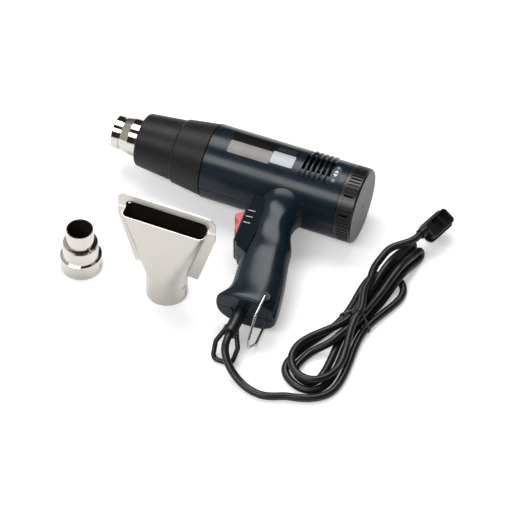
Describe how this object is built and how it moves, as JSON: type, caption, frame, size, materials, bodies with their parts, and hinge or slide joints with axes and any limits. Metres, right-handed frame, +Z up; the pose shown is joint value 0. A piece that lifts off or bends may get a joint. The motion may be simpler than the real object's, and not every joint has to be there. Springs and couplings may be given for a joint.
{
  "type": "pistol grip hot air gun with nozzles",
  "caption": "Pistol-grip hot air tool lying on its side, with rear air dial, red rocker, hanging bail, coiled cord and plug, a reducer nozzle and a flat spreader nozzle standing beside it.",
  "frame": {"origin": "on the floor, under the middle of the box round everything except the cord, its boot, hank and plug", "axes": "+X along the barrel from the mouth to the rear dial, -Y towards the foot of the grip, +Z up from the floor; the tool lies on its side"},
  "size_m": [0.3373, 0.2661, 0.1138],
  "materials": {
    "blue_black_plastic": "moulded, satin gloss",
    "zinc_screw": "zinc plated",
    "black_nylon": "glass filled, satin",
    "black_abs": "moulded",
    "chromed_steel": "bright",
    "satin_nickel": "satin",
    "steatite": "dry pressed",
    "mica": "laminated",
    "resistance_wire": "drawn",
    "motor_steel": "drawn",
    "inner_plastic": "moulded",
    "circuit_board": "laminate",
    "cord_pvc": "satin",
    "brass_blade": "stamped",
    "red_plastic": "moulded",
    "bright_wire": "bright drawn"
  },
  "bodies": {
    "gun": {"housing_upper": "blue_black_plastic", "housing_lower": "blue_black_plastic", "housing_screws": "zinc_screw", "heat_shroud": "black_nylon", "outlet_barrel": "chromed_steel", "heater_collar": "steatite", "mica_sleeve": "mica", "mica_former": "mica", "heating_coil": "resistance_wire", "motor_can": "motor_steel", "motor_bracket": "inner_plastic", "rectifier_board": "circuit_board", "intake_grille": "black_abs", "switch_body": "black_abs", "terminal_block": "inner_plastic", "cord_clamp": "inner_plastic", "clamp_screws": "zinc_screw", "inner_lead": "cord_pvc", "cord_boot": "cord_pvc", "bail_grommets": "cord_pvc", "power_cord": "cord_pvc", "cord_hank": "cord_pvc", "cord_tie": "cord_pvc", "plug": "cord_pvc", "plug_blades": "brass_blade"},
    "dial": {"air_dial": "black_abs", "dial_shutter": "black_abs"},
    "rotor": {"motor_shaft": "motor_steel", "fan_impeller": "inner_plastic"},
    "switch": {"switch_rocker": "red_plastic"},
    "bail": {"hanging_bail": "bright_wire"},
    "reducer": {"reducer_nozzle": "chromed_steel"},
    "spreader": {"spreader_front": "satin_nickel", "spreader_back": "satin_nickel"}
  },
  "joints": [
    {"name": "dial_turn", "type": "hinge", "parent": "gun", "child": "dial", "pos_m": [0.1185, 0.07508, 0.0378], "axis": [1, 0, 0], "range_deg": [-45, 45]},
    {"name": "rotor_spin", "type": "hinge", "parent": "gun", "child": "rotor", "pos_m": [0.0855, 0.07508, 0.0378], "axis": [1, 0, 0], "continuous": true},
    {"name": "rocker_tilt", "type": "hinge", "parent": "gun", "child": "switch", "pos_m": [0.03524, 0.0098, 0.03237], "axis": [0, 0.0828, -0.9966], "range_deg": [0, 18]},
    {"name": "bail_swing", "type": "hinge", "parent": "gun", "child": "bail", "pos_m": [0.0862, -0.07042, 0.02571], "axis": [0, -0.0828, 0.9966], "range_deg": [-6, 110]},
    {"name": "reducer_lift", "type": "slide", "parent": "gun", "child": "reducer", "axis": [0, 0, 1], "range_m": [0, 0.06]},
    {"name": "spreader_lift", "type": "slide", "parent": "gun", "child": "spreader", "axis": [0, 0, 1], "range_m": [0, 0.06]}
  ]
}
